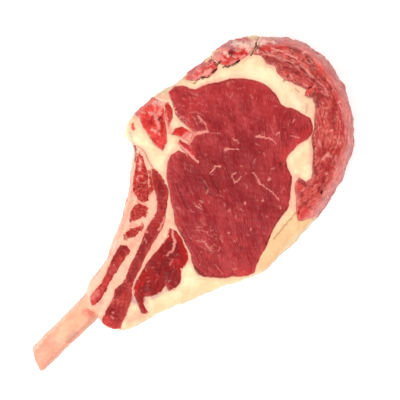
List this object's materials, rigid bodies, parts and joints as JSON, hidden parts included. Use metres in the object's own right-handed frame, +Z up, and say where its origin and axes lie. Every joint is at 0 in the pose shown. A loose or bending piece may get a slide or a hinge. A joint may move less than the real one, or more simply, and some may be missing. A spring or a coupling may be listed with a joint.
{
  "type": "raw bone-in beef rib steak",
  "caption": "Thick slice of raw rib roast with a long scraped rib bone, marbled lean, seam fat and fat cover, lying flat on a cut face.",
  "frame": {"origin": "under the middle of the whole, on the plane of the lower cut face", "axes": "+Z up through the slice's thickness, +X from the sawn end of the bone to the cap, +Y to the backbone side"},
  "size_m": [0.319, 0.1538, 0.045],
  "materials": {
    "lean": "moist dark red lean with fine grain and thin marbling",
    "cap_lean": "moist lighter red lean with coarse grain and pale streaks",
    "tail_lean": "moist deep red lean",
    "red_bone": "wet mottled red and pink sawn spongy bone",
    "fat": "cream fat, pinker along the lean, waxy and moist",
    "bone": "pale pink scraped bone with a moist film"
  },
  "bodies": {
    "root": {"eye_muscle": "lean", "cap_muscle": "cap_lean", "upper_strip_muscle": "cap_lean", "upper_corner_muscle": "cap_lean", "tail_muscle": "tail_lean", "flank_strip_muscle": "tail_lean", "rib_strip_muscle": "tail_lean", "chine_muscle": "tail_lean", "chine_bone": "red_bone", "chine_lobe": "red_bone", "upper_marrow": "red_bone", "middle_marrow": "red_bone", "lower_marrow": "red_bone", "fat_cover": "fat", "rib_bone": "bone"}
  },
  "joints": []
}
